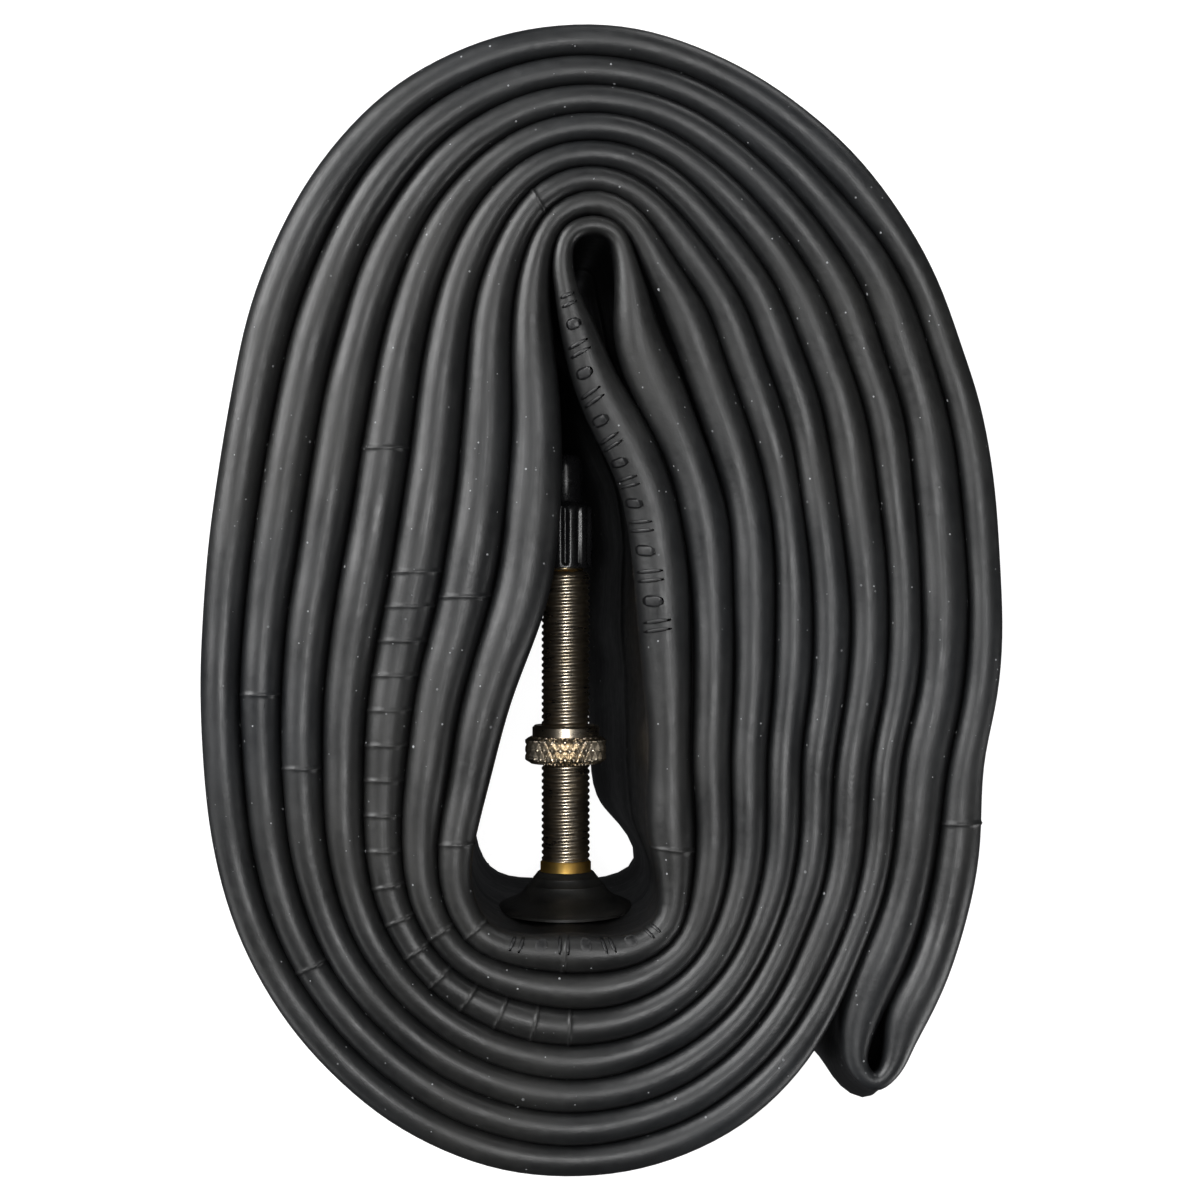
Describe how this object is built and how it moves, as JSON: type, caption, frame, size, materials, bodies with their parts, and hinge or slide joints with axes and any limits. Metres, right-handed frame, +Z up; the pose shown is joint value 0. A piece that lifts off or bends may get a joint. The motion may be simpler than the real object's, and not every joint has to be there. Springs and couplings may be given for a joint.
{
  "type": "bicycle inner tube",
  "caption": "Flat-pressed butyl inner tube wound into an oval coil on its edge, with a threaded slim valve, rim nut, removable core and ribbed cap.",
  "frame": {"origin": "on the floor, under the middle of the coil", "axes": "+Z up across the flattened strip; +Y along the coil's long axis, the way the valve points; +X to the right of it"},
  "size_m": [0.0924, 0.1293, 0.052],
  "materials": {
    "butyl": "satin, faint mould lines",
    "patch_rubber": "matt",
    "seal_rubber": "matt",
    "plated_brass": "nickel-plated, worn",
    "core_brass": "turned",
    "cap_plastic": "moulded"
  },
  "bodies": {
    "tube": {"inner_tube": "butyl", "valve_pad": "patch_rubber", "valve_stem": "plated_brass", "core_body": "core_brass", "core_gasket": "seal_rubber"},
    "nut": {"rim_nut": "plated_brass"},
    "pin": {"core_pin": "core_brass", "core_plunger_seal": "seal_rubber"},
    "lock": {"core_lock_nut": "core_brass"},
    "cap": {"dust_cap": "cap_plastic"}
  },
  "joints": [
    {"name": "rim_nut_travel", "type": "slide", "parent": "tube", "child": "nut", "axis": [0, 1, 0], "range_m": [-0.0118, 0.0188]},
    {"name": "lock_nut_turn", "type": "hinge", "parent": "tube", "child": "lock", "pos_m": [-0.0032, 0.0102, 0.026], "axis": [0, 1, 0], "range_deg": [0, 1800]},
    {"name": "pin_sink", "type": "slide", "parent": "tube", "child": "pin", "axis": [0, -1, 0], "range_m": [0, 0.002]},
    {"name": "cap_lift", "type": "slide", "parent": "tube", "child": "cap", "axis": [0, 1, 0], "range_m": [0, 0.007]}
  ],
  "couplings": [
    {"joint": "lock_nut_turn", "follows": "pin_sink", "rad_per_m": 15700}
  ]
}
